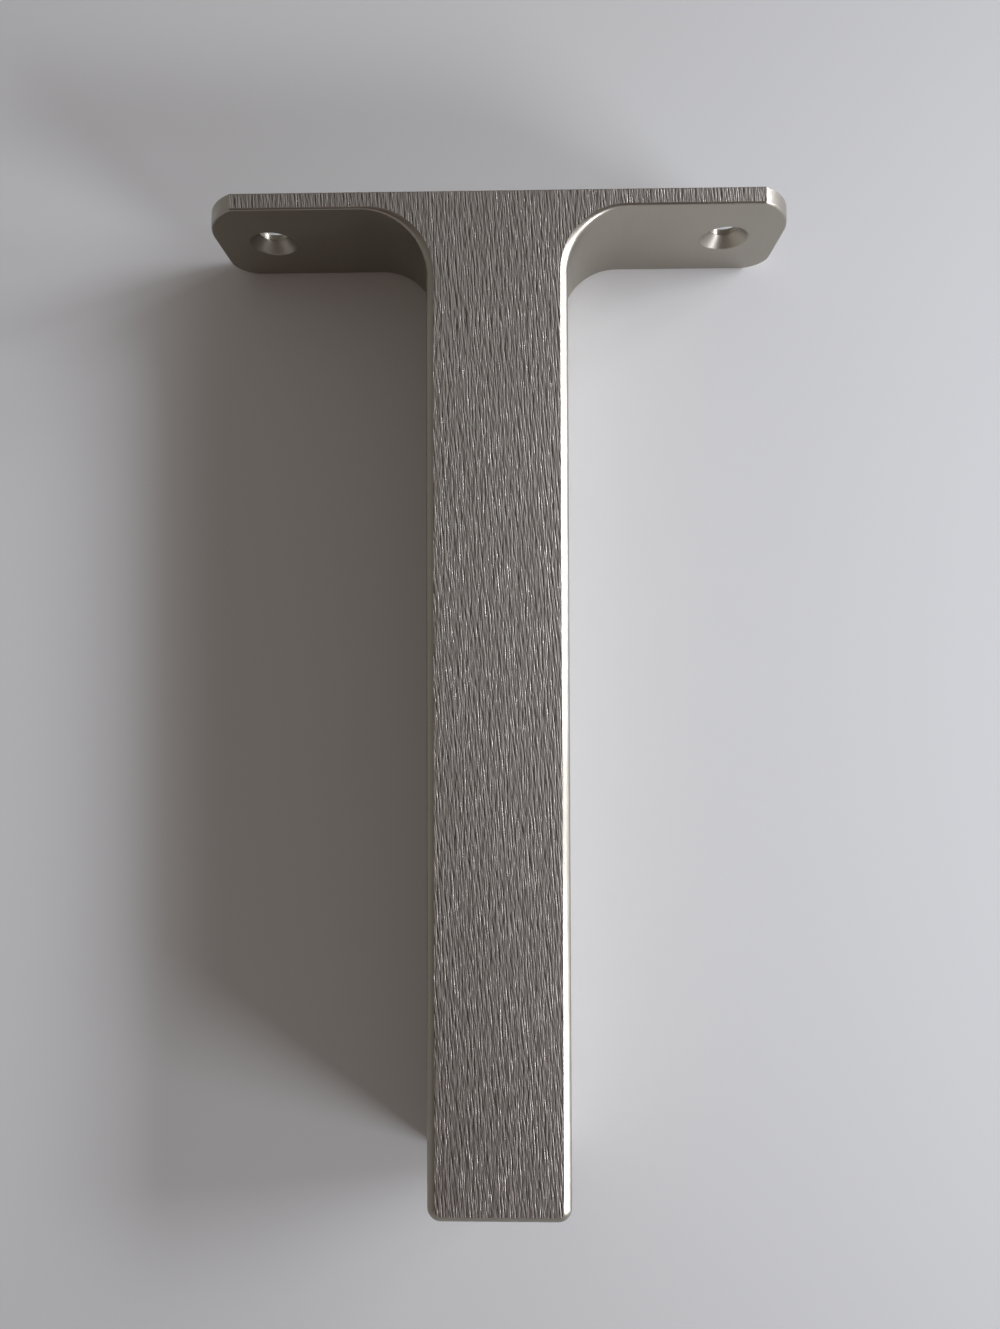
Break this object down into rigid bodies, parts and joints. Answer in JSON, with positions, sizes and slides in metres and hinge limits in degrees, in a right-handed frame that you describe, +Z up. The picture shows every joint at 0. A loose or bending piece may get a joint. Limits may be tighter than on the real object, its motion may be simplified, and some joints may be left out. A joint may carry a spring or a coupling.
{
  "type": "shelf bracket",
  "caption": "Solid metal T bracket: a square arm carries a shelf and a thin flange screws to the wall.",
  "frame": {"origin": "middle of the wall face, at half the bracket's height", "axes": "+Y into the wall and -Y along the arm to its free end, +X along the wall, +Z up out of the shelf face"},
  "size_m": [0.106, 0.179, 0.025],
  "materials": {
    "plated_metal": "satin nickel plate, coarsely brushed along the arm on the two broad faces"
  },
  "bodies": {
    "root": {"bracket": "plated_metal"}
  },
  "joints": []
}
